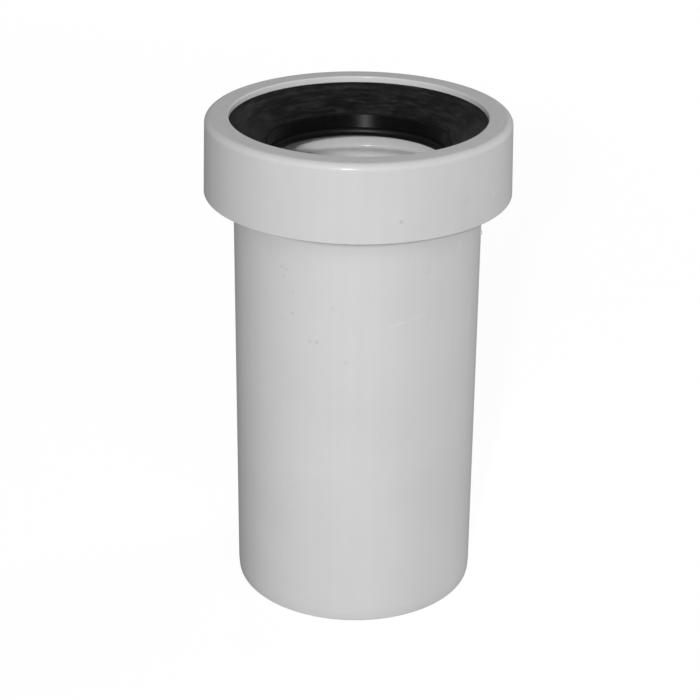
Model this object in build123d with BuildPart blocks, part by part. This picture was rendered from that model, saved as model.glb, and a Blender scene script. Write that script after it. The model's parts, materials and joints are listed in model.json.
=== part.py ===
from build123d import *
import os
from math import atan2, cos, pi, radians, sqrt, tan

# Toilet pan connector: a straight spigot that goes into a 110 mm drain, with a socket head that holds a rubber
# lip seal under a snap-fit collar. The pan's outlet pushes into the seal from above.
# Millimetres, +Z up. The origin is the centre of the spigot's end, so the connector stands with its mouth up.

# Whole connector
overall_height = 224.0
seat_clearance = 0.15          # between the seal's edge and the walls on both sides of it

# Spigot: the pipe
spigot_diameter = 110.0        # the standard drain size
pipe_wall = 3.0
lead_in_height = 4.0           # the slight taper at the end that starts the pipe in the drain's socket
lead_in_depth = 0.4
end_chamfer = 0.8

# Spigot: the socket head
socket_depth = 35.1            # from the mouth's rim down to the socket's floor
floor_width = 7.0              # how far the floor reaches out from the bore
socket_wall = 3.0
floor_wall = 3.0
floor_corner_chamfer = 0.9
bore_edge_chamfer = 2.3        # leads the flow from the floor into the bore
shoulder_round = 3.6
shoulder_gusset = 2.6          # fills the corner between the pipe and the shoulder
socket_rim_chamfer = 0.5

# Spigot: the snap ridge round the socket
ridge_depth = 1.6
ridge_flat = 1.2
ridge_ramp_height = 3.2

# Seal
flange_thickness = 2.6         # clamped between the collar's rim and the socket's rim
skirt_height = 6.0             # the edge that hangs over the outside of the socket
skirt_wall = 1.8
rib_height = 3.5               # the rib that stands inside the socket
rib_wall = 2.0
throat_diameter = 82.6         # stretches over the pan's outlet
throat_depth = 12.7            # from the mouth's rim down to the top of the neck
throat_chamfer = 0.8
funnel_wall = 2.6
neck_wall = 2.2
bead_depth = 21.5              # from the mouth's rim down to the middle of the bead
bead_radius = 2.0
bead_sides = 12                # the round bead is drawn with flat sides

# Collar
rim_thickness = 3.0
rim_overhang = 2.4             # how far the rim reaches in past the socket's wall
collar_wall = 3.0
collar_height = 34.3
collar_draft = 1.5             # degrees: the skirt widens towards its open foot
collar_round = 3.0
mouth_chamfer = 0.6
foot_chamfer = 0.3

# Collar: the snap lugs
lug_count = 8
lug_arc = 18.0                 # degrees of the circle that each lug covers
lug_height = 3.2
lug_ramp_height = 1.4
lug_clearance = 0.3            # to the socket's wall
snap_clearance = 0.2           # between a lug's top and the ridge above it

# Radii that follow
spigot_radius = spigot_diameter / 2
bore_radius = spigot_radius - pipe_wall
socket_inner = bore_radius + floor_width
socket_outer = socket_inner + socket_wall
mouth_radius = socket_inner - rim_overhang
skirt_inner = socket_outer + seat_clearance
skirt_outer = skirt_inner + skirt_wall
cavity_radius = skirt_outer + seat_clearance
collar_radius = cavity_radius + collar_wall
rib_outer = socket_inner - seat_clearance
rib_inner = rib_outer - rib_wall
throat_radius = throat_diameter / 2
neck_outer = throat_radius + neck_wall

# Heights that follow
floor_level = overall_height - socket_depth
underside_level = floor_level - floor_wall
rim_underside = overall_height - rim_thickness
socket_rim = rim_underside - flange_thickness
collar_foot = overall_height - collar_height
skirt_foot = socket_rim - skirt_height
rib_foot = socket_rim - rib_height
throat_top = overall_height - throat_depth
bead_level = overall_height - bead_depth
lug_top = collar_foot + lug_height
ridge_underside = lug_top + snap_clearance
ridge_top = ridge_underside + ridge_flat + ridge_ramp_height


def corner(section, radius, height):
    """The corner of a half section that lies at a radius and a height."""
    return section.vertices().sort_by_distance((radius, height))[0]


def round_off(section, radius, height, size):
    """Round a square corner of a half section with three flats that touch its arc."""
    chamfer(corner(section, radius, height), size * (2 - sqrt(2)))
    flat_ends = section.vertices().sort_by_distance((radius, height))[:2]
    chamfer(flat_ends, size * (tan(pi / 8) - tan(pi / 16)))


def widened(radius, drop):
    """The radius of a drafted wall at a distance below the level where it is given."""
    return radius + drop * tan(radians(collar_draft))


os.makedirs("parts", exist_ok=True)

# The spigot: pipe, shoulder, socket and snap ridge, one moulding
with BuildPart() as spigot:
    with BuildSketch(Plane.XZ) as spigot_section:
        with BuildLine():
            Polyline(
                (bore_radius, 0),
                (spigot_radius - lead_in_depth, 0),
                (spigot_radius, lead_in_height),
                (spigot_radius, underside_level),
                (socket_outer, underside_level),
                (socket_outer, ridge_underside),
                (socket_outer + ridge_depth, ridge_underside),
                (socket_outer + ridge_depth, ridge_underside + ridge_flat),
                (socket_outer, ridge_top),
                (socket_outer, socket_rim),
                (socket_inner, socket_rim),
                (socket_inner, floor_level),
                (bore_radius, floor_level),
                close=True,
            )
        make_face()
        chamfer(corner(spigot_section, spigot_radius - lead_in_depth, 0), end_chamfer)
        chamfer(corner(spigot_section, spigot_radius, underside_level), shoulder_gusset)
        chamfer(corner(spigot_section, socket_outer, socket_rim), socket_rim_chamfer)
        chamfer(corner(spigot_section, socket_inner, floor_level), floor_corner_chamfer)
        chamfer(corner(spigot_section, bore_radius, floor_level), bore_edge_chamfer)
        round_off(spigot_section, socket_outer, underside_level, shoulder_round)
    revolve(axis=Axis.Z)
spigot.part.label = "spigot"

# The seal: a clamped edge with a skirt and a rib, then the funnel, the neck and the bead
funnel_edge = mouth_radius + seat_clearance
funnel_slope = atan2(rim_underside - throat_top, funnel_edge - throat_radius)
funnel_drop = funnel_wall / cos(funnel_slope)


def under_funnel(radius):
    """The height of the funnel's underside at a radius."""
    return throat_top + (radius - throat_radius) * tan(funnel_slope) - funnel_drop


with BuildPart() as seal:
    with BuildSketch(Plane.XZ) as seal_section:
        with BuildLine():
            Polyline(
                (throat_radius, bead_level),
                (neck_outer, bead_level),
                (neck_outer, under_funnel(neck_outer)),
                (rib_inner, under_funnel(rib_inner)),
                (rib_inner, rib_foot),
                (rib_outer, rib_foot),
                (rib_outer, socket_rim),
                (skirt_inner, socket_rim),
                (skirt_inner, skirt_foot),
                (skirt_outer, skirt_foot),
                (skirt_outer, rim_underside),
                (funnel_edge, rim_underside),
                (throat_radius, throat_top),
                close=True,
            )
        make_face()
        chamfer(corner(seal_section, throat_radius, throat_top), throat_chamfer)
        chamfer(corner(seal_section, neck_outer, under_funnel(neck_outer)), throat_chamfer)
        with Locations((neck_outer - bead_radius, bead_level)):
            RegularPolygon(bead_radius, bead_sides)
    revolve(axis=Axis.Z)
seal.part.label = "seal"

# One snap lug, rooted in the collar's skirt: flat on top, with a ramp below that rides over the ridge
lug_inner = socket_outer + lug_clearance
lug_root = widened(cavity_radius, rim_underside - lug_top) + collar_wall / 2
with BuildPart() as lug:
    with BuildSketch(Plane.XZ):
        with BuildLine():
            Polyline(
                (lug_root, collar_foot),
                (lug_inner + ridge_depth, collar_foot),
                (lug_inner, collar_foot + lug_ramp_height),
                (lug_inner, lug_top),
                (lug_root, lug_top),
                close=True,
            )
        make_face()
    revolve(axis=Axis.Z, revolution_arc=lug_arc)

# The collar: a rim that holds the seal down and a drafted skirt with the lugs inside its foot
foot_inner = widened(cavity_radius, rim_underside - collar_foot)
foot_outer = widened(collar_radius, overall_height - collar_foot)
with BuildPart() as collar:
    with BuildSketch(Plane.XZ) as collar_section:
        with BuildLine():
            Polyline(
                (mouth_radius, rim_underside),
                (cavity_radius, rim_underside),
                (foot_inner, collar_foot),
                (foot_outer, collar_foot),
                (collar_radius, overall_height),
                (mouth_radius, overall_height),
                close=True,
            )
        make_face()
        round_off(collar_section, collar_radius, overall_height, collar_round)
        chamfer(corner(collar_section, foot_outer, collar_foot), foot_chamfer)
        for mouth_level in (overall_height, rim_underside):
            chamfer(corner(collar_section, mouth_radius, mouth_level), mouth_chamfer)
    revolve(axis=Axis.Z)
    with PolarLocations(0, lug_count, start_angle=-lug_arc / 2):
        add(lug.part)
collar.part.label = "collar"

for piece in (spigot, seal, collar):
    export_step(piece.part, f"parts/{piece.part.label}.step")
    print(piece.part.label, "volume", round(piece.part.volume / 1000, 2), "cm3")
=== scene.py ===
# %% [markdown]
# A toilet pan connector joins the outlet of a toilet pan to a 110 mm drain. It is three pieces: a white
# spigot with a wide head, a black rubber lip seal in that head, and a white collar that snaps over the
# head and holds the seal down. The exact solids of the three come in as a fixed frame, in metres. This
# script makes each piece again as a smoothly rounded mesh of the same size, and gives it the finish of
# the real one.

# %% Load the frame
import bmesh
import bpy
import json
from collections import Counter
from math import atan2, cos, hypot, radians, sin, sqrt, tan, tau
from mathutils import Matrix, Vector


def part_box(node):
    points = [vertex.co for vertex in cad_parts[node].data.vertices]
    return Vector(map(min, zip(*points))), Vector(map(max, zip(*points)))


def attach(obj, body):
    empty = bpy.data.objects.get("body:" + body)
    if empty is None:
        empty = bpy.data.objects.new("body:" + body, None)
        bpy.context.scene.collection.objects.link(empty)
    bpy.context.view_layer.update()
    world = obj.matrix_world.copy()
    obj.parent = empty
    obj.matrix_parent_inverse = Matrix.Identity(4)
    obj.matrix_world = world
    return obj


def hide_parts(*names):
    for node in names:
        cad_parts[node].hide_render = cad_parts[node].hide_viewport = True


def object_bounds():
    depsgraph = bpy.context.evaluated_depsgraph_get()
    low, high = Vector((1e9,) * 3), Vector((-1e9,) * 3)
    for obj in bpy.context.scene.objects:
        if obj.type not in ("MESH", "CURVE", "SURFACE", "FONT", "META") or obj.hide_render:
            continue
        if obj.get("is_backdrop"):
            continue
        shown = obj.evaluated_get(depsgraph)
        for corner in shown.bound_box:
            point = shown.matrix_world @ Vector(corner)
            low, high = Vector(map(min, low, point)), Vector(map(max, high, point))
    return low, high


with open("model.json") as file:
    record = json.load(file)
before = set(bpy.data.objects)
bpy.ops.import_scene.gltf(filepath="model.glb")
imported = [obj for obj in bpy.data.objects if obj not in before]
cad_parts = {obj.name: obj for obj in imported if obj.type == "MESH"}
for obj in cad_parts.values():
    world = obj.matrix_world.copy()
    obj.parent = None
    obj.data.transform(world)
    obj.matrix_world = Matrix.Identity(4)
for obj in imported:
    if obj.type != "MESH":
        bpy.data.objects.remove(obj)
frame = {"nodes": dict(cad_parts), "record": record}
cad_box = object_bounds()
MM = 0.001
print("solids:", sorted(frame["nodes"]))

# %% [markdown]
# The sizes come from the solids, so that the meshes can't drift away from them. A box gives a piece's
# reach, and the mounts give the radius of the pipe and of the seal's neck. What a box can't show, such as
# a wall's thickness, is a named value here, the same as in the solids.

# %% Sizes of the connector
mounts = {mount["name"]: mount["dims"] for mount in frame["record"]["mounts"]}
pipe_radius = mounts["spigot"]["r_mm"] * MM
throat_radius = mounts["pan_seal"]["r_mm"] * MM
mouth_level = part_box("collar")[1].z
collar_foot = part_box("collar")[0].z
rim_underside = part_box("seal")[1].z
socket_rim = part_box("spigot")[1].z
bead_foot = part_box("seal")[0].z
ridge_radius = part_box("spigot")[1].x
skirt_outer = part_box("seal")[1].x

pipe_wall = 3.0 * MM
socket_depth = 35.1 * MM
socket_wall = 3.0 * MM
floor_width = 7.0 * MM
floor_wall = 3.0 * MM
seat_clearance = 0.15 * MM
bore_radius = pipe_radius - pipe_wall
socket_inner = bore_radius + floor_width
socket_outer = socket_inner + socket_wall
floor_level = mouth_level - socket_depth
underside_level = floor_level - floor_wall
sizes = {"pipe radius": pipe_radius, "socket radius": socket_inner, "mouth level": mouth_level}
print("in mm:", {name: round(size / MM, 2) for name, size in sizes.items()})

# %% [markdown]
# The camera stands where the photographer stood. Its place and lens were found by matching the
# connector's outlines: about 0.85 m from the mouth, 18 degrees above it, with a long lens that is turned
# down by a little under 25 degrees.

# %% Camera
CAMERA_DISTANCE = 0.84993
CAMERA_HEIGHT_ANGLE = radians(17.71)
CAMERA_TILT = radians(65.355)
CAMERA_TURN = radians(0.195)
CAMERA_ROLL = radians(0.60)
LENS = 99.87
SENSOR = 36.0

bpy.ops.object.select_all(action="DESELECT")
bpy.ops.object.camera_add()
camera = bpy.context.object
camera.name = "photo_camera"
camera.data.lens = LENS
camera.data.sensor_width = SENSOR
camera.data.dof.use_dof = False
back = Vector((0, -cos(CAMERA_HEIGHT_ANGLE), sin(CAMERA_HEIGHT_ANGLE)))
standpoint = Vector((0, 0, mouth_level)) + CAMERA_DISTANCE * back
aimed = Matrix.Rotation(CAMERA_TURN, 4, "Z") @ Matrix.Rotation(CAMERA_TILT, 4, "X")
camera.matrix_world = Matrix.Translation(standpoint) @ aimed @ Matrix.Rotation(CAMERA_ROLL, 4, "Z")
bpy.context.scene.camera = camera
print("camera at", [round(v, 4) for v in camera.matrix_world.translation])

# %% [markdown]
# The studio is a plain pale floor and four lights. The main light is a small one, just left of the camera
# and about as high, because the photo has a small bright spot on the collar and nearly no shadow on the
# side that it shows. A wide light above it reaches into the mouth, a second on the right keeps that side
# brighter than the left one, and a third lights the back from so low that it hardly touches the rim. Only
# the main light is mirrored in the plastic. The floor glows, so that it stays pale without throwing light
# up onto the pipe. The air is pale where the camera sees it, and lights the connector only a little.

# %% Floor
FLOOR_SIZE = 160.0
FLOOR_GREY = 0.12
FLOOR_GLOW = 0.92
WHITE = (1, 1, 1, 1)


def set_inputs(node, values):
    """Sets a node's own sockets to fixed numbers and colours."""
    for name, value in values.items():
        node.inputs[name].default_value = value


bpy.ops.object.select_all(action="DESELECT")
bpy.ops.mesh.primitive_plane_add(size=FLOOR_SIZE)
floor = bpy.context.object
floor.name = "studio_floor"
floor.visible_diffuse = False
floor.visible_glossy = False
floor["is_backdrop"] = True

floor_paint = bpy.data.materials.new("studio_floor_paint")
floor_paint.use_nodes = True
set_inputs(floor_paint.node_tree.nodes["Principled BSDF"], {
    "Base Color": (FLOOR_GREY, FLOOR_GREY, FLOOR_GREY, 1),
    "Roughness": 0.9,
    "Specular IOR Level": 0.1,
    "Emission Color": WHITE,
    "Emission Strength": FLOOR_GLOW,
})
floor.data.materials.append(floor_paint)
print("floor:", FLOOR_SIZE, "m wide, glowing at", FLOOR_GLOW)

# %% Lights
AIM_HEIGHT = 0.6 * mouth_level
AIM = Vector((0, 0, AIM_HEIGHT))


def add_light(name, azimuth, elevation, distance, size, power, mirrored=False):
    """A square light aimed at the connector. Azimuth 0 is the camera's side, and plus is to the right."""
    bpy.ops.object.select_all(action="DESELECT")
    bpy.ops.object.light_add(type="AREA")
    light = bpy.context.object
    light.name = name
    light.data.size = size
    light.data.energy = power
    light.visible_glossy = mirrored
    turn = Matrix.Rotation(radians(azimuth), 4, "Z") @ Matrix.Rotation(radians(90 - elevation), 4, "X")
    light.matrix_world = Matrix.Translation(AIM) @ turn @ Matrix.Translation((0, 0, distance))
    print(name, "at", [round(v, 2) for v in light.matrix_world.translation], "with", power, "W")


add_light("key_light", azimuth=-8.0, elevation=21.0, distance=3.0, size=0.12, power=43.5, mirrored=True)
add_light("front_fill", azimuth=8.0, elevation=27.0, distance=2.5, size=2.0, power=17.5)
add_light("right_fill", azimuth=122.0, elevation=4.0, distance=2.5, size=1.2, power=38.0)
add_light("back_fill", azimuth=183.0, elevation=1.0, distance=2.5, size=0.5, power=42.0)

# %% Air of the studio
AIR_LIGHT = 0.2
AIR_SEEN = 1.0

air = bpy.data.worlds.new("studio_air")
air.use_nodes = True
air_shader = air.node_tree.nodes["Background"]
air_shader.inputs["Color"].default_value = WHITE
seen = air.node_tree.nodes.new("ShaderNodeLightPath").outputs["Is Camera Ray"]
brightness = air.node_tree.nodes.new("ShaderNodeMapRange")
set_inputs(brightness, {"To Min": AIR_LIGHT, "To Max": AIR_SEEN})
air.node_tree.links.new(seen, brightness.inputs["Value"])
air.node_tree.links.new(brightness.outputs["Result"], air_shader.inputs["Strength"])
bpy.context.scene.world = air
bpy.context.scene.view_settings.view_transform = "Standard"
print("air:", AIR_SEEN, "for the camera and", AIR_LIGHT, "for the connector")

# %% [markdown]
# All three pieces are round about one axis, so each is drawn as half an outline and spun. A small plane
# is merged into one vertex at the outline's first corner, and each further corner is extruded from the
# one before. The corners that are round on the real piece are beveled while the outline is still a wire,
# which gives every ring of the finished mesh its place in one step. A Screw modifier would do the same,
# but a spin leaves plain faces that can be picked and worked on afterwards. A corner is written as its
# radius, its height, and the distance from it at which its round starts, or SHARP where it has none.

# %% Outline tools
SHARP = 0
ROUND_STEPS = 6
ROUND_PROFILE = 0.5
SAME_PLACE = 0.005 * MM


def start_outline(name, radius, height):
    """One vertex in the plane y = 0, in edit mode, on an object at the origin."""
    bpy.ops.object.select_all(action="DESELECT")
    bpy.ops.mesh.primitive_plane_add(size=MM, location=(radius, 0, height))
    piece = bpy.context.object
    piece.name = name
    bpy.ops.object.transform_apply(location=True, rotation=False, scale=False)
    bpy.ops.object.mode_set(mode="EDIT")
    bpy.ops.mesh.select_all(action="SELECT")
    bpy.ops.mesh.merge(type="CENTER")
    return piece


def select_corners(piece, corners):
    """Selects the outline's vertices that lie at the given corners."""
    mesh = bmesh.from_edit_mesh(piece.data)
    for vertex in mesh.verts:
        vertex.select = any((vertex.co - Vector((r, 0, z))).length < SAME_PLACE for r, z, _ in corners)
    mesh.select_flush_mode()
    bmesh.update_edit_mesh(piece.data)


def round_corner(piece, corner):
    """Rounds one corner of the outline, from as far off on both sides as the corner says."""
    select_corners(piece, [corner])
    bpy.ops.mesh.bevel(affect="VERTICES", offset=corner[2], segments=ROUND_STEPS, profile=ROUND_PROFILE)


def draw_outline(name, corners):
    """A closed half outline: each corner is extruded from the one before, and the last joins the first."""
    first_radius, first_height, _ = corners[0]
    piece = start_outline(name, first_radius, first_height)
    for (r0, z0, _), (r1, z1, _) in zip(corners, corners[1:]):
        bpy.ops.mesh.extrude_vertices_move(TRANSFORM_OT_translate={"value": (r1 - r0, 0, z1 - z0)})
    select_corners(piece, [corners[0], corners[-1]])
    bpy.ops.mesh.edge_face_add()
    for corner in corners:
        if corner[2] != SHARP:
            round_corner(piece, corner)
    return piece


# %% Spin and finish
SPIN_STEPS = 240
SMOOTH_ANGLE = radians(40)


def spin_outline(piece):
    """Spins the outline once round the axis, joins the seam and turns all faces outwards."""
    bpy.ops.mesh.select_all(action="SELECT")
    bpy.ops.mesh.spin(steps=SPIN_STEPS, angle=tau, center=(0, 0, 0), axis=(0, 0, 1))
    bpy.ops.mesh.select_all(action="SELECT")
    bpy.ops.mesh.remove_doubles(threshold=SAME_PLACE)
    bpy.ops.mesh.normals_make_consistent(inside=False)


def open_edges(piece):
    """How many edges don't join exactly two faces. A closed piece has none."""
    faces_met = Counter(key for polygon in piece.data.polygons for key in polygon.edge_keys)
    return sum(count != 2 for count in faces_met.values())


def finish_piece(piece):
    """Shades the piece smooth across its rounds, and keeps its flats flat by weighting the normals."""
    bpy.ops.object.mode_set(mode="OBJECT")
    bpy.ops.object.select_all(action="DESELECT")
    piece.select_set(True)
    bpy.context.view_layer.objects.active = piece
    bpy.ops.object.shade_smooth_by_angle(angle=SMOOTH_ANGLE)
    weighted = piece.modifiers.new("weighted_normals", "WEIGHTED_NORMAL")
    weighted.keep_sharp = True
    bpy.ops.object.modifier_apply(modifier=weighted.name)
    print(piece.name, "has", len(piece.data.polygons), "faces and", open_edges(piece), "open edges")


# %% [markdown]
# The spigot is one moulding: a parallel pipe with a slight lead-in taper at its end, a shoulder, and the
# socket that the pan's outlet drops into. A snap ridge runs round the socket. Only the pipe, a little of
# the socket's floor and the top of the bore show in the photo, but the whole section is drawn, because
# other views look up the pipe and under the collar. The two corners on the pipe's wall, a little below
# the shoulder, make a ring of faces for the feed stub.

# %% Spigot
lead_in_height = 4.0 * MM
lead_in_depth = 0.4 * MM
stub_level = 172.0 * MM
stub_size = 2.2 * MM
lug_height = 3.2 * MM
snap_clearance = 0.2 * MM
ridge_underside = collar_foot + lug_height + snap_clearance
ridge_flat = 1.2 * MM
ridge_ramp_height = 3.2 * MM

bore_end_round = 0.4 * MM
pipe_end_round = 0.8 * MM
lead_in_round = 1.5 * MM
shoulder_gusset = 3.0 * MM
shoulder_round = 3.6 * MM
ridge_round = 0.3 * MM
socket_rim_round = 0.5 * MM
floor_corner_round = 1.5 * MM
bore_edge_round = 4.0 * MM

spigot = draw_outline("spigot_moulding", [
    (bore_radius, 0, bore_end_round),
    (pipe_radius - lead_in_depth, 0, pipe_end_round),
    (pipe_radius, lead_in_height, lead_in_round),
    (pipe_radius, stub_level - stub_size / 2, SHARP),
    (pipe_radius, stub_level + stub_size / 2, SHARP),
    (pipe_radius, underside_level, shoulder_gusset),
    (socket_outer, underside_level, shoulder_round),
    (socket_outer, ridge_underside, SHARP),
    (ridge_radius, ridge_underside, ridge_round),
    (ridge_radius, ridge_underside + ridge_flat, ridge_round),
    (socket_outer, ridge_underside + ridge_flat + ridge_ramp_height, SHARP),
    (socket_outer, socket_rim, socket_rim_round),
    (socket_inner, socket_rim, socket_rim_round),
    (socket_inner, floor_level, floor_corner_round),
    (bore_radius, floor_level, bore_edge_round),
])
spin_outline(spigot)
print("the socket stands", round((socket_outer - pipe_radius) / MM, 2), "mm out from the pipe")

# %% [markdown]
# A small stub of plastic stands on the pipe just under the collar, where the mould was fed. It is made of
# one face of the wall: the face is inset, pulled out, and its end is drawn in. To find that face, a ray
# is sent from the camera through the stub's pixel of the photo onto the pipe's wall. The marks on the
# plastic get their places in the same way. The photo is square, so one focal length in pixels serves
# both across and up.

# %% Feed stub on the pipe
IMAGE_SIZE = 700
FEED_STUB = (480.4, 232)
STUB_INSET = 0.2 * MM
STUB_RISE = 0.6 * MM
STUB_TAPER = 0.8


def on_wall(pixel, radius):
    """The point of an upright round wall, in metres, that a pixel of the photo shows."""
    focal = LENS / SENSOR * IMAGE_SIZE
    middle = (IMAGE_SIZE - 1) / 2
    ray = camera.matrix_world.to_3x3() @ Vector((pixel[0] - middle, middle - pixel[1], -focal))
    eye = camera.matrix_world.translation
    # The ray meets the wall where a * step**2 + 2 * b * step + c is 0, first at the smaller step
    a = ray.x**2 + ray.y**2
    b = eye.x * ray.x + eye.y * ray.y
    c = eye.x**2 + eye.y**2 - radius**2
    return eye + ray * ((-b - sqrt(max(b**2 - a * c, 0))) / a)


def select_face_at(piece, place):
    """Selects the one face whose middle is nearest to a place, and returns its direction outwards."""
    bpy.ops.mesh.select_all(action="DESELECT")
    bpy.ops.mesh.select_mode(type="FACE")
    mesh = bmesh.from_edit_mesh(piece.data)
    nearest = min(mesh.faces, key=lambda face: (face.calc_center_median() - place).length)
    nearest.select = True
    bmesh.update_edit_mesh(piece.data)
    return nearest.normal.copy()


outwards = select_face_at(spigot, on_wall(FEED_STUB, pipe_radius))
bpy.ops.mesh.inset(thickness=STUB_INSET, depth=0)
bpy.ops.mesh.extrude_region_move(TRANSFORM_OT_translate={"value": outwards * STUB_RISE})
bpy.ops.transform.resize(value=(STUB_TAPER, STUB_TAPER, STUB_TAPER))
bpy.ops.mesh.select_mode(type="VERT")
finish_piece(spigot)

# %% [markdown]
# The collar is a cap ring. Its flat rim reaches in over the seal, its top edge has a 3 mm round, and its
# skirt widens by a degree and a half towards the foot, so that it leaves its mould.

# %% Collar
rim_overhang = 2.4 * MM
collar_wall = 3.0 * MM
collar_draft = radians(1.5)
mouth_radius = socket_inner - rim_overhang
cavity_radius = skirt_outer + seat_clearance
collar_radius = cavity_radius + collar_wall
foot_outer = collar_radius + (mouth_level - collar_foot) * tan(collar_draft)
lug_ramp_height = 1.4 * MM
lug_top = collar_foot + lug_height
lug_ramp_top = collar_foot + lug_ramp_height

mouth_underside_round = 0.6 * MM
cavity_round = 0.5 * MM
foot_round = 0.35 * MM
collar_round = 3.0 * MM
mouth_round = 0.7 * MM


def inner_wall(height):
    """The radius of the collar's drafted inner wall at a height."""
    return cavity_radius + (rim_underside - height) * tan(collar_draft)


collar = draw_outline("retaining_collar", [
    (mouth_radius, rim_underside, mouth_underside_round),
    (cavity_radius, rim_underside, cavity_round),
    (inner_wall(lug_top), lug_top, SHARP),
    (inner_wall(lug_ramp_top), lug_ramp_top, SHARP),
    (inner_wall(collar_foot), collar_foot, SHARP),
    (foot_outer, collar_foot, foot_round),
    (collar_radius, mouth_level, collar_round),
    (mouth_radius, mouth_level, mouth_round),
])
spin_outline(collar)
print("the collar is", round(2 * foot_outer / MM, 2), "mm wide at its foot")

# %% [markdown]
# Eight snap lugs stand inside the collar's foot and hook under the spigot's ridge. They are made after
# the spin: the faces of the inner wall that carry a lug are picked by their angle, extruded and pushed in
# towards the axis. The lowest ring of the new faces then moves back out by the depth of the ridge, which
# gives each lug the ramp that rides over it.

# %% Snap lugs
lug_count = 8
lug_arc = radians(18.0)
lug_clearance = 0.3 * MM
lug_inner = socket_outer + lug_clearance
ridge_depth = ridge_radius - socket_outer


def angle_from_lug(place):
    """The angle round the axis from the middle of the nearest lug."""
    spacing = tau / lug_count
    return (atan2(place.y, place.x) + spacing / 2) % spacing - spacing / 2


def carries_lug(face):
    """Whether a lug grows from this face of the inner wall."""
    middle = face.calc_center_median()
    inside = hypot(middle.x, middle.y) < inner_wall(collar_foot) + SAME_PLACE
    lug_high = collar_foot + SAME_PLACE < middle.z < lug_top
    return inside and lug_high and abs(angle_from_lug(middle)) < lug_arc / 2


def scale_selection(factor):
    """Moves what is selected towards the axis or away from it, and leaves its heights alone."""
    bpy.ops.transform.resize(value=(factor, factor, 1), center_override=(0, 0, 0))


bpy.ops.mesh.select_mode(type="FACE")
collar_mesh = bmesh.from_edit_mesh(collar.data)
for face in collar_mesh.faces:
    face.select = carries_lug(face)
bmesh.update_edit_mesh(collar.data)
print("faces under the lugs:", sum(face.select for face in collar_mesh.faces))
bpy.ops.mesh.extrude_region_move()
scale_selection(lug_inner / inner_wall(lug_ramp_top))

bpy.ops.mesh.select_mode(type="VERT")
collar_mesh = bmesh.from_edit_mesh(collar.data)
for vertex in collar_mesh.verts:
    vertex.select = vertex.select and abs(vertex.co.z - collar_foot) < SAME_PLACE
collar_mesh.select_flush_mode()
bmesh.update_edit_mesh(collar.data)
scale_selection((lug_inner + ridge_depth) / lug_inner)
bpy.ops.mesh.select_all(action="SELECT")
bpy.ops.mesh.normals_make_consistent(inside=False)
finish_piece(collar)

# %% [markdown]
# The seal is one rubber moulding. Its outer edge is clamped between the collar's rim and the socket's
# rim, with a skirt outside the socket and a rib inside it. From there a funnel leads down to the neck,
# which ends in a rolled bead that grips the pan's outlet. Each round of the bead stops just short of the
# next one, so that no two of them share a vertex.

# %% Seal
skirt_wall = 1.8 * MM
skirt_height = 6.0 * MM
rib_wall = 2.0 * MM
rib_height = 3.5 * MM
funnel_wall = 2.6 * MM
throat_depth = 12.7 * MM
neck_wall = 2.2 * MM
bead_radius = 2.0 * MM
bead_gap = 0.02 * MM

skirt_inner = skirt_outer - skirt_wall
skirt_foot = socket_rim - skirt_height
rib_outer = socket_inner - seat_clearance
rib_inner = rib_outer - rib_wall
rib_foot = socket_rim - rib_height
funnel_edge = mouth_radius + seat_clearance
throat_top = mouth_level - throat_depth
funnel_slope = atan2(rim_underside - throat_top, funnel_edge - throat_radius)
neck_outer = throat_radius + neck_wall
bead_inner = neck_outer - 2 * bead_radius
bead_top = bead_foot + 2 * bead_radius

throat_round = 0.9 * MM
bead_round = bead_radius - bead_gap
bead_top_round = throat_radius - bead_inner - bead_gap
neck_root_round = 0.8 * MM
edge_round = 0.5 * MM


def under_funnel(radius):
    """The height of the funnel's underside at a radius."""
    return throat_top + (radius - throat_radius) * tan(funnel_slope) - funnel_wall / cos(funnel_slope)


seal = draw_outline("lip_seal", [
    (throat_radius, throat_top, throat_round),
    (throat_radius, bead_top, SHARP),
    (bead_inner, bead_top, bead_top_round),
    (bead_inner, bead_foot, bead_round),
    (neck_outer, bead_foot, bead_round),
    (neck_outer, under_funnel(neck_outer), neck_root_round),
    (rib_inner, under_funnel(rib_inner), SHARP),
    (rib_inner, rib_foot, edge_round),
    (rib_outer, rib_foot, edge_round),
    (rib_outer, socket_rim, SHARP),
    (skirt_inner, socket_rim, SHARP),
    (skirt_inner, skirt_foot, edge_round),
    (skirt_outer, skirt_foot, edge_round),
    (skirt_outer, rim_underside, edge_round),
    (funnel_edge, rim_underside, SHARP),
])
spin_outline(seal)
finish_piece(seal)

# %% [markdown]
# Materials are networks of nodes. Each helper adds one node and links or sets its inputs, so that a
# finish reads as a short list of what lies on top of what. All patterns read Object coordinates, which
# are metres in the connector's own frame, so they stay on the surface from every side.

# %% Node tools
def new_material(name):
    """A material with nodes, its tree, its Principled shader and its Object coordinates."""
    material = bpy.data.materials.new(name)
    material.use_nodes = True
    tree = material.node_tree
    place = tree.nodes.new("ShaderNodeTexCoord").outputs["Object"]
    print("material:", name)
    return material, tree, tree.nodes["Principled BSDF"], place


def connect(tree, socket, value):
    """Links a socket to another one, or sets it to a number or a colour."""
    if isinstance(value, bpy.types.NodeSocket):
        tree.links.new(value, socket)
    else:
        socket.default_value = value


def add_node(tree, kind, settings=(), **inputs):
    """Adds a node. Settings are its options, and inputs are set, or linked where they are sockets."""
    made = tree.nodes.new(kind)
    for name, value in dict(settings).items():
        setattr(made, name, value)
    for name, value in inputs.items():
        connect(tree, made.inputs[name.replace("_", " ")], value)
    return made


def calculate(tree, operation, *values, clamp=False):
    """A Math node's result."""
    made = add_node(tree, "ShaderNodeMath", {"operation": operation, "use_clamp": clamp})
    for socket, value in zip(made.inputs, values):
        connect(tree, socket, value)
    return made.outputs[0]


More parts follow.
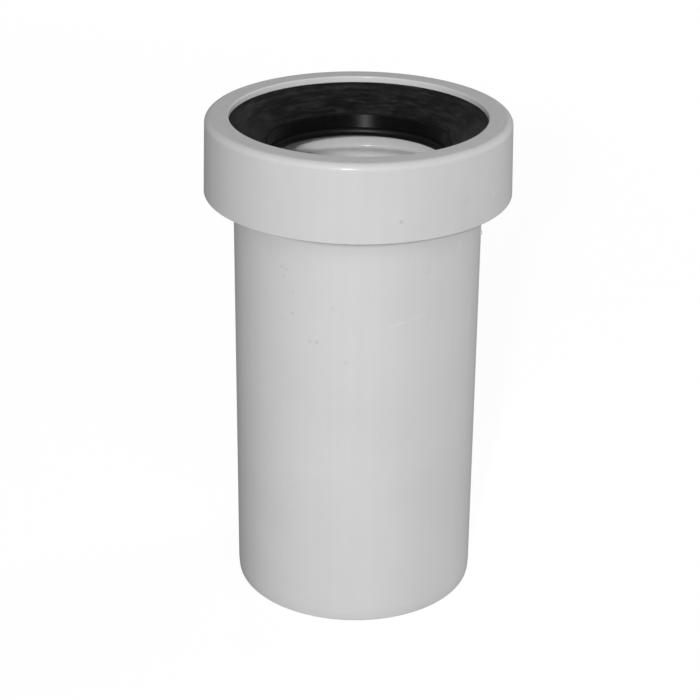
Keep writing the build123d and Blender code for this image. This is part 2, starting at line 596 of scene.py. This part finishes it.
def calculate_vector(tree, operation, *vectors, result="Vector"):
    """A Vector Math node's result, which is a vector or, for a length, a distance or a dot, a Value."""
    made = add_node(tree, "ShaderNodeVectorMath", {"operation": operation})
    for socket, value in zip(made.inputs, vectors):
        connect(tree, socket, value)
    return made.outputs[result]


def split(tree, vector):
    """A vector's X, Y and Z."""
    made = add_node(tree, "ShaderNodeSeparateXYZ", Vector=vector)
    return made.outputs["X"], made.outputs["Y"], made.outputs["Z"]


def join(tree, x, y, z):
    """A vector made of three numbers."""
    return add_node(tree, "ShaderNodeCombineXYZ", X=x, Y=y, Z=z).outputs["Vector"]


def rescale(tree, value, low, high, new_low=0.0, new_high=1.0, smooth=False):
    """A value's range from low to high, turned into the range from new_low to new_high."""
    slope = "SMOOTHSTEP" if smooth else "LINEAR"
    made = add_node(tree, "ShaderNodeMapRange", {"interpolation_type": slope}, Value=value)
    set_inputs(made, {"From Min": low, "From Max": high, "To Min": new_low, "To Max": new_high})
    return made.outputs["Result"]


def grey(tree, value):
    """A grey colour from a number."""
    return add_node(tree, "ShaderNodeCombineColor", Red=value, Green=value, Blue=value).outputs["Color"]


# %% [markdown]
# What wear and dirt look like is mostly noise of the right size. On a round wall, two kinds of it are
# needed: clouds that are as long as wide, and streaks or bands that follow the wall. For the second kind,
# the noise reads coordinates that go round the axis by a number of waves and up by a length of its own.
# Single marks are soft round spots.

# %% Patterns
NOISE_LOW = 0.3
NOISE_HIGH = 0.7
SPOT_CORE = 0.4


def noise(tree, place, size, detail=3.0, roughness=0.5):
    """Noise with features of about this size, in metres, from 0 to 1."""
    made = add_node(tree, "ShaderNodeTexNoise", Vector=place, Scale=1 / size, Detail=detail)
    made.inputs["Roughness"].default_value = roughness
    return made.outputs["Fac"]


def vary(tree, pattern, low, high):
    """Noise turned into the range from low to high. Most noise lies between its own low and high."""
    return rescale(tree, pattern, NOISE_LOW, NOISE_HIGH, low, high)


def off_axis(tree, place):
    """A place without its height, seen from the connector's axis."""
    return calculate_vector(tree, "MULTIPLY", place, (1, 1, 0))


def around(tree, place, waves, rise):
    """Coordinates that follow the wall: waves round the axis, and steps of rise metres upwards."""
    turned_x, turned_y, _ = split(tree, calculate_vector(tree, "NORMALIZE", off_axis(tree, place)))
    across = calculate(tree, "MULTIPLY", turned_x, waves)
    along = calculate(tree, "MULTIPLY", turned_y, waves)
    height = split(tree, place)[2]
    return join(tree, across, along, calculate(tree, "DIVIDE", height, rise))


def wall_noise(tree, place, waves, rise, detail, roughness):
    """Noise that follows the wall, with as many waves round it, and features of about rise metres."""
    return noise(tree, around(tree, place, waves, rise), 1.0, detail, roughness)


def spot(tree, place, centre, size):
    """1 at a point and 0 beyond a distance from it."""
    gap = calculate_vector(tree, "DISTANCE", place, centre, result="Value")
    return rescale(tree, gap, SPOT_CORE * size, size, 1.0, 0.0, smooth=True)


def shaded(tree, tone, amount, strength):
    """A tone, multiplied by the strength where the amount is 1 and left alone where it is 0."""
    return calculate(tree, "MULTIPLY", rescale(tree, amount, 0, 1, 1.0, strength), tone)


# %% [markdown]
# The white plastic is moulded polypropylene: a light grey body that scatters nearly all light, under a
# thin gloss that shows only where it mirrors the small main light. The collar's grey is a little darker
# than the spigot's. Faint upright streaks, cloudy patches and rubbed bands are noise, and so are the fine
# pale rings on the collar's flat rim, which are partly rubbed wear and partly painted light that lifts
# the flat top a little. The marks that the photo shows are placed one by one: small dents down the front
# of the pipe, which may be worn raised marks, a pale scratch, smudges, pale patches and a dark speck on
# the collar. A dent is both a slight shadow in the colour and a dip in the bump.

# %% Marks on the plastic
PIPE_DENTS = [
    ((281, 266), 1.7 * MM),
    ((286, 269), 1.1 * MM),
    ((283, 275), 1.3 * MM),
    ((292, 292), 1.4 * MM),
    ((332, 308), 1.5 * MM),
    ((292, 313), 1.2 * MM),
    ((309, 341), 1.2 * MM),
    ((316, 342), 1.4 * MM),
    ((346, 363), 1.5 * MM),
]
PIPE_SMUDGES = [((282, 317), 3.0 * MM), ((427, 269), 3.2 * MM)]
PIPE_PATCHES = [((461, 242), 2.6 * MM), ((464, 299), 1.6 * MM)]
COLLAR_SMUDGES = [((467, 200), 2.8 * MM)]
COLLAR_PATCHES = [((493, 194), 3.0 * MM)]
COLLAR_SPECKS = [((401, 222), 1.2 * MM)]
SCRATCH_ENDS = [(391, 326), (423, 314)]
SCRATCH_WIDTH = 1.3 * MM
SCRATCH_CORE = 0.3


def marks(tree, place, spots, radius):
    """The spots of a list together. Each is a pixel of the photo and a size, on a wall of this radius."""
    total = 0.0
    for pixel, size in spots:
        total = calculate(tree, "ADD", total, spot(tree, place, on_wall(pixel, radius), size))
    return total


def line_mark(tree, place, start, end, width):
    """1 on the straight line between two points and 0 beyond a distance from it."""
    along = end - start
    from_start = calculate_vector(tree, "SUBTRACT", place, start)
    per_length = along / along.length_squared
    reach = calculate_vector(tree, "DOT_PRODUCT", from_start, per_length, result="Value")
    share = calculate(tree, "MULTIPLY", reach, 1.0, clamp=True)
    nearest = add_node(tree, "ShaderNodeVectorMath", {"operation": "SCALE"}, Scale=share)
    nearest.inputs[0].default_value = along
    gap = calculate_vector(tree, "DISTANCE", from_start, nearest.outputs["Vector"], result="Value")
    return rescale(tree, gap, SCRATCH_CORE * width, width, 1.0, 0.0, smooth=True)


scratch_start, scratch_end = (on_wall(pixel, pipe_radius) for pixel in SCRATCH_ENDS)
print("dents on the pipe:", len(PIPE_DENTS))
print("length of the scratch in mm:", round((scratch_end - scratch_start).length / MM, 1))

# %% Tone of the plastic
CLOUD_SIZE = 40 * MM
CLOUD_SHARE = 0.02
PATCH_SIZE = 7 * MM
PATCH_SHARE = 0.008
STREAK_WAVES = 14.0
STREAK_LENGTH = 160 * MM
STREAK_SHARE = 0.012
GRIME_SHARE = 0.006
RING_WAVES = 5.0
RING_WIDTH = 1.5 * MM
RING_START = mouth_level - 0.8 * MM
RING_FULL = mouth_level - 0.1 * MM


def plain_tone(tree, place, grime, own_grey):
    """The plastic's own light grey with clouds, patches, upright streaks and fine grime."""
    clouds = noise(tree, place, CLOUD_SIZE, detail=4)
    patches = noise(tree, place, PATCH_SIZE, detail=5, roughness=0.6)
    streaks = wall_noise(tree, place, STREAK_WAVES, STREAK_LENGTH, detail=4, roughness=0.6)
    tone = vary(tree, clouds, (1 - CLOUD_SHARE) * own_grey, (1 + CLOUD_SHARE) * own_grey)
    for pattern, share in ((patches, PATCH_SHARE), (streaks, STREAK_SHARE), (grime, GRIME_SHARE)):
        tone = calculate(tree, "MULTIPLY", vary(tree, pattern, 1 - share, 1 + share), tone)
    return tone


def rim_rings_and_painted_light(tree, place):
    """Fine pale rings on the collar's flat rim, part rubbed wear and part painted light: up to 1 on it,
    and 0 below it.
    """
    turned_x, turned_y, _ = split(tree, around(tree, place, RING_WAVES, RING_WIDTH))
    axis_distance = calculate_vector(tree, "LENGTH", off_axis(tree, place), result="Value")
    outwards = calculate(tree, "DIVIDE", axis_distance, RING_WIDTH)
    rings = noise(tree, join(tree, turned_x, turned_y, outwards), 1.0, detail=5, roughness=0.7)
    height = split(tree, place)[2]
    on_rim = rescale(tree, height, RING_START, RING_FULL)
    return calculate(tree, "MULTIPLY", rescale(tree, rings, low=0.35, high=0.65), on_rim)


# %% Marked tone of the plastic
DENT_SHADE = 0.87
SMUDGE_SHADE = 0.95
RING_AND_PAINTED_LIGHT = 1.08
SPECK_SHADE = 0.86
PALE_SHADE = 1.06


def marked_tone(tree, place, tone, grime, dents):
    """The tone with its dents, smudges, rings and specks, and the pale scratch and patches."""
    ragged = rescale(tree, grime, low=0.35, high=0.6)
    on_pipe = marks(tree, place, PIPE_SMUDGES, pipe_radius)
    on_collar = marks(tree, place, COLLAR_SMUDGES, foot_outer)
    smudges = calculate(tree, "MULTIPLY", calculate(tree, "ADD", on_pipe, on_collar), ragged)
    patches = marks(tree, place, PIPE_PATCHES, pipe_radius)
    patches = calculate(tree, "ADD", patches, marks(tree, place, COLLAR_PATCHES, foot_outer))
    scratch = line_mark(tree, place, scratch_start, scratch_end, SCRATCH_WIDTH)
    pale = calculate(tree, "ADD", patches, scratch)
    tone = shaded(tree, tone, calculate(tree, "MULTIPLY", dents, ragged), DENT_SHADE)
    tone = shaded(tree, tone, smudges, SMUDGE_SHADE)
    # The rings also paint a little light onto the rim's flat top.
    tone = shaded(tree, tone, rim_rings_and_painted_light(tree, place), RING_AND_PAINTED_LIGHT)
    tone = shaded(tree, tone, marks(tree, place, COLLAR_SPECKS, foot_outer), SPECK_SHADE)
    return shaded(tree, tone, calculate(tree, "MULTIPLY", pale, ragged), PALE_SHADE)


# %% White plastic
SPIGOT_GREY = 0.745
COLLAR_GREY = 0.72
GRIME_SIZE = 1.6 * MM
PLASTIC_SMOOTHEST = 0.51
PLASTIC_ROUGHEST = 0.63
RUBBED_WAVES = 6.0
RUBBED_WIDTH = 30 * MM
RUBBED_LOW = 0.25
RUBBED_HIGH = 0.75
PEEL_SIZE = 2.2 * MM
PEEL_DEPTH = 0.006 * MM
DENT_DEPTH = 6.0


def plastic_finish(name, own_grey):
    """The white plastic of the spigot or the collar. A dent is as deep as DENT_DEPTH times the peel."""
    material, tree, shader, place = new_material(name)
    grime = noise(tree, place, GRIME_SIZE, detail=4, roughness=0.7)
    dents = marks(tree, place, PIPE_DENTS, pipe_radius)
    tone = marked_tone(tree, place, plain_tone(tree, place, grime, own_grey), grime, dents)
    connect(tree, shader.inputs["Base Color"], grey(tree, tone))
    rubbed = wall_noise(tree, place, RUBBED_WAVES, RUBBED_WIDTH, detail=6, roughness=0.65)
    rough = rescale(tree, rubbed, RUBBED_LOW, RUBBED_HIGH, PLASTIC_SMOOTHEST, PLASTIC_ROUGHEST)
    connect(tree, shader.inputs["Roughness"], rough)
    set_inputs(shader, {"IOR": 1.49, "Specular IOR Level": 0.4})
    set_inputs(shader, {"Coat Weight": 0.5, "Coat Roughness": 0.15})
    peel = noise(tree, place, PEEL_SIZE, detail=3)
    peel = calculate(tree, "SUBTRACT", peel, calculate(tree, "MULTIPLY", dents, DENT_DEPTH))
    bump = add_node(tree, "ShaderNodeBump", Height=peel, Distance=PEEL_DEPTH, Strength=1.0)
    connect(tree, shader.inputs["Normal"], bump.outputs["Normal"])
    return material


spigot_plastic = plastic_finish("white_plastic_spigot", SPIGOT_GREY)
collar_plastic = plastic_finish("white_plastic_collar", COLLAR_GREY)

# %% [markdown]
# The seal is black rubber with three faces. The funnel is matte and dusty: it lightens where it is seen
# edge-on, and pale scuffs run round it where outlets have been pushed in. The neck is smoother and
# darker. Fine rings left by the mould's turning spread the light upwards and not sideways, which makes
# one upright streak on it, and that is what an anisotropic shine does. The bead is nearly as smooth, but
# has no such rings.

# %% Black rubber
DUST_SIZE = 3 * MM
DUST_ROUGHNESS = 0.06
GRAIN_SIZE = 0.5 * MM
GRAIN_DEPTH = 0.02 * MM


def rubber_surface(name, roughness):
    """Black rubber with a fine grain: its material, tree, shader, place, dust and roughness."""
    material, tree, shader, place = new_material(name)
    dust = noise(tree, place, DUST_SIZE, detail=6, roughness=0.75)
    rough = vary(tree, dust, roughness - DUST_ROUGHNESS, roughness + DUST_ROUGHNESS)
    connect(tree, shader.inputs["Roughness"], rough)
    set_inputs(shader, {"IOR": 1.5})
    grain = noise(tree, place, GRAIN_SIZE, detail=3)
    bump = add_node(tree, "ShaderNodeBump", Height=grain, Distance=GRAIN_DEPTH, Strength=1.0)
    connect(tree, shader.inputs["Normal"], bump.outputs["Normal"])
    return material, tree, shader, place, dust, rough


# %% Rubber of the funnel
FUNNEL_GREY = 0.0025
FUNNEL_ROUGHNESS = 0.62
SCUFF_GREY = 0.026
SCUFF_WAVES = 3.5
SCUFF_WIDTH = 1.3 * MM
LEAST_DUST = 0.5
MOST_DUST = 1.5
CREASE_LEVEL = throat_top - 0.3 * MM
CREASE_WIDTH = 0.5 * MM
CREASE_CORE = 0.5
PAINTED_CREASE_SHADE = 0.3
CREASE_ROUGHNESS = 0.3


def painted_shade_at_neck(tree, place, rubbed):
    """Painted shade: 1 in the broken crease where the funnel turns into the neck, and 0 beyond its width.
    """
    height = split(tree, place)[2]
    gap = calculate(tree, "ABSOLUTE", calculate(tree, "SUBTRACT", height, CREASE_LEVEL))
    crease = rescale(tree, gap, CREASE_CORE * CREASE_WIDTH, CREASE_WIDTH, 1.0, 0.0, smooth=True)
    return calculate(tree, "MULTIPLY", crease, rescale(tree, rubbed, low=0.4, high=0.55))


def funnel_finish():
    """The matte rubber of the funnel and the clamped edge, with painted shade in the crease at the neck's
    top.
    """
    material, tree, shader, place, dust, rough = rubber_surface("black_rubber_funnel", FUNNEL_ROUGHNESS)
    rubbed = wall_noise(tree, place, SCUFF_WAVES, SCUFF_WIDTH, detail=6, roughness=0.66)
    scuff = rescale(tree, rubbed, low=0.42, high=0.7, smooth=True)
    tone = calculate(tree, "MULTIPLY_ADD", scuff, SCUFF_GREY, FUNNEL_GREY)
    tone = calculate(tree, "MULTIPLY", vary(tree, dust, LEAST_DUST, MOST_DUST), tone)
    crease = painted_shade_at_neck(tree, place, rubbed)
    # Painted shade: the crease at the neck's top is darkened in the colour.
    tone = shaded(tree, tone, crease, PAINTED_CREASE_SHADE)
    connect(tree, shader.inputs["Base Color"], grey(tree, tone))
    rough = calculate(tree, "MULTIPLY_ADD", crease, CREASE_ROUGHNESS, rough)
    connect(tree, shader.inputs["Roughness"], rough)
    set_inputs(shader, {"Specular IOR Level": 0.25, "Sheen Weight": 0.05, "Sheen Roughness": 0.4})
    return material


# %% Rubber of the neck and the bead
SMOOTH_DARKEST = 0.0015
SMOOTH_PALEST = 0.0048
NECK_ROUGHNESS = 0.43
NECK_SHINE = 0.96
BEAD_ROUGHNESS = 0.45
BEAD_SHINE = 0.0
QUARTER_TURN = 0.25


def smooth_rubber(name, roughness, upright_shine):
    """The smoother rubber inside the seal. The upright shine is how far its rings draw the light out."""
    material, tree, shader, _, dust, _ = rubber_surface(name, roughness)
    tone = vary(tree, dust, SMOOTH_DARKEST, SMOOTH_PALEST)
    connect(tree, shader.inputs["Base Color"], grey(tree, tone))
    set_inputs(shader, {
        "Specular IOR Level": 0.39,
        "Anisotropic": upright_shine,
        "Anisotropic Rotation": QUARTER_TURN,
    })
    round_axis = add_node(tree, "ShaderNodeTangent", {"direction_type": "RADIAL", "axis": "Z"})
    connect(tree, shader.inputs["Tangent"], round_axis.outputs["Tangent"])
    return material


black_rubbers = [
    funnel_finish(),
    smooth_rubber("black_rubber_neck", NECK_ROUGHNESS, NECK_SHINE),
    smooth_rubber("black_rubber_bead", BEAD_ROUGHNESS, BEAD_SHINE),
]

# %% [markdown]
# Each mesh takes the place of its solid, rides on the one body that the connector has, and takes its
# materials. The seal's faces take the funnel's rubber above the neck's top, the neck's from there down to
# the bead, and the bead's below. The boxes before and after are written down, to show that no size
# changed.

# %% Put the pieces on the frame
for piece, node, slot, materials in (
    (spigot, "spigot", "white_plastic", [spigot_plastic]),
    (collar, "collar", "white_plastic", [collar_plastic]),
    (seal, "seal", "black_rubber", black_rubbers),
):
    for material in materials:
        piece.data.materials.append(material)
    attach(piece, "root")
    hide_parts(node)
neck_top = throat_top - throat_round
for polygon in seal.data.polygons:
    polygon.material_index = sum(polygon.center.z < level for level in (neck_top, bead_top))
print("smooth faces of the seal:", sum(polygon.material_index > 0 for polygon in seal.data.polygons))

# %% Sizes
bpy.context.view_layer.update()
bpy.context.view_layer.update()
for name, box in (("solids", cad_box), ("dressed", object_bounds())):
    print(name, "box in mm:", [round(v / MM, 2) for corner in box for v in corner])
